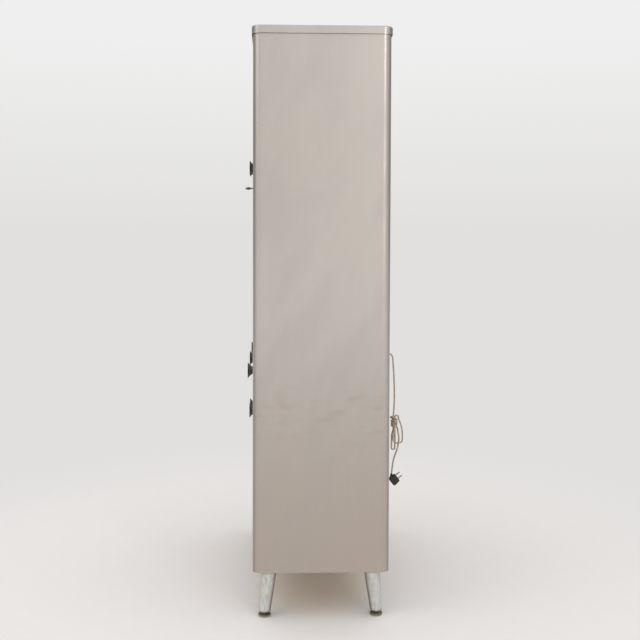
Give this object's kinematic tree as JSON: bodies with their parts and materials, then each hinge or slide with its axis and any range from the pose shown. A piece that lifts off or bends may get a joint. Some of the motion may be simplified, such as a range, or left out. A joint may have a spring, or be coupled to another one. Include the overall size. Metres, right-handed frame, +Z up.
{
  "type": "metal display cabinet",
  "caption": "Tall free-standing sheet-metal display cabinet: glazed upper doors, a row of drawers, lower doors, round knobs, splayed conical legs and an inside lamp with a tied-up cord.",
  "frame": {"origin": "on the floor, midway between the two sides and midway between the tip of the key in front and the end of the cord's strain relief behind", "axes": "+Z up, -Y out of the front doors, +X to the right-hand side as seen from the front"},
  "size_m": [0.848, 0.4928, 1.74],
  "materials": {
    "sheet_steel": "satin, finely brushed",
    "zinc_steel": "zinc plated",
    "leg_metal": "turned, satin",
    "foot_metal": "black, semi-gloss",
    "dark_metal": "darkened, satin",
    "clear_glass": "clear",
    "lamp_glass": "opal",
    "painted_steel": "white, smooth",
    "dark_plastic": "fine matte",
    "dark_rubber": "matte",
    "cord_jacket": "soft, beige",
    "blade_brass": "bright"
  },
  "bodies": {
    "carcass": {"top_cap": "sheet_steel", "side_panel_right": "sheet_steel", "side_panel_left": "sheet_steel", "back_panel": "sheet_steel", "floor_pan": "sheet_steel", "drawer_deck": "sheet_steel", "display_floor": "sheet_steel", "ceiling_panel": "sheet_steel", "front_rails": "sheet_steel", "drawer_partitions": "sheet_steel", "drawer_runners": "zinc_steel", "leg_brackets": "zinc_steel", "legs": "leg_metal", "pivot_pins": "zinc_steel", "door_catches": "dark_plastic", "shelf_standards": "zinc_steel", "shelf_supports": "zinc_steel", "glass_shelves": "clear_glass", "cupboard_shelf": "sheet_steel", "lamp_housing": "painted_steel", "lamp_tube": "lamp_glass", "cable_duct": "painted_steel", "cord_relief": "dark_rubber", "power_cord": "cord_jacket", "cord_hank": "cord_jacket", "cord_tail": "cord_jacket", "plug_body": "dark_plastic", "plug_blades": "blade_brass"},
    "upper_door_right": {"upper_door_frame_right": "sheet_steel", "upper_door_liner_right": "sheet_steel", "upper_door_glass_right": "clear_glass", "upper_door_knob_right": "dark_metal", "lock_body": "dark_metal"},
    "lock": {"lock_plug": "dark_metal", "lock_key": "dark_metal"},
    "upper_door_left": {"upper_door_frame_left": "sheet_steel", "upper_door_liner_left": "sheet_steel", "upper_door_glass_left": "clear_glass", "upper_door_knob_left": "dark_metal"},
    "lower_door_right": {"lower_door_pan_right": "sheet_steel", "lower_door_liner_right": "sheet_steel", "lower_door_knob_right": "dark_metal"},
    "lower_door_left": {"lower_door_pan_left": "sheet_steel", "lower_door_liner_left": "sheet_steel", "lower_door_knob_left": "dark_metal"},
    "drawer_left": {"drawer_front_left": "sheet_steel", "drawer_box_left": "sheet_steel", "drawer_knob_left": "dark_metal"},
    "drawer_middle": {"drawer_front_middle": "sheet_steel", "drawer_box_middle": "sheet_steel", "drawer_knob_middle": "dark_metal"},
    "drawer_right": {"drawer_front_right": "sheet_steel", "drawer_box_right": "sheet_steel", "drawer_knob_right": "dark_metal"},
    "lamp_rocker": {"lamp_switch": "dark_plastic"},
    "foot_front_left": {"foot_front_left": "foot_metal"},
    "foot_front_right": {"foot_front_right": "foot_metal"},
    "foot_back_left": {"foot_back_left": "foot_metal"},
    "foot_back_right": {"foot_back_right": "foot_metal"}
  },
  "joints": [
    {"name": "upper_door_right_hinge", "type": "hinge", "parent": "carcass", "child": "upper_door_right", "pos_m": [0.386, -0.1828, 1.244], "axis": [0, 0, 1], "range_deg": [0, 110]},
    {"name": "upper_door_left_hinge", "type": "hinge", "parent": "carcass", "child": "upper_door_left", "pos_m": [-0.386, -0.1828, 1.244], "axis": [0, 0, -1], "range_deg": [0, 110]},
    {"name": "lower_door_right_hinge", "type": "hinge", "parent": "carcass", "child": "lower_door_right", "pos_m": [0.386, -0.1828, 0.402], "axis": [0, 0, 1], "range_deg": [0, 110]},
    {"name": "lower_door_left_hinge", "type": "hinge", "parent": "carcass", "child": "lower_door_left", "pos_m": [-0.386, -0.1828, 0.402], "axis": [0, 0, -1], "range_deg": [0, 110]},
    {"name": "drawer_left_slide", "type": "slide", "parent": "carcass", "child": "drawer_left", "axis": [0, -1, 0], "range_m": [0, 0.3]},
    {"name": "drawer_middle_slide", "type": "slide", "parent": "carcass", "child": "drawer_middle", "axis": [0, -1, 0], "range_m": [0, 0.3]},
    {"name": "drawer_right_slide", "type": "slide", "parent": "carcass", "child": "drawer_right", "axis": [0, -1, 0], "range_m": [0, 0.3]},
    {"name": "lock_turn", "type": "hinge", "parent": "upper_door_right", "child": "lock", "pos_m": [0.043, -0.1888, 1.284], "axis": [0, 1, 0], "range_deg": [0, 90]},
    {"name": "lamp_rocker_tilt", "type": "hinge", "parent": "carcass", "child": "lamp_rocker", "pos_m": [0.303, -0.1328, 1.6694], "axis": [1, 0, 0], "range_deg": [0, 20]},
    {"name": "foot_front_left_slide", "type": "slide", "parent": "carcass", "child": "foot_front_left", "axis": [0, 0, -1], "range_m": [0, 0.01]},
    {"name": "foot_front_right_slide", "type": "slide", "parent": "carcass", "child": "foot_front_right", "axis": [0, 0, -1], "range_m": [0, 0.01]},
    {"name": "foot_back_left_slide", "type": "slide", "parent": "carcass", "child": "foot_back_left", "axis": [0, 0, -1], "range_m": [0, 0.01]},
    {"name": "foot_back_right_slide", "type": "slide", "parent": "carcass", "child": "foot_back_right", "axis": [0, 0, -1], "range_m": [0, 0.01]}
  ]
}
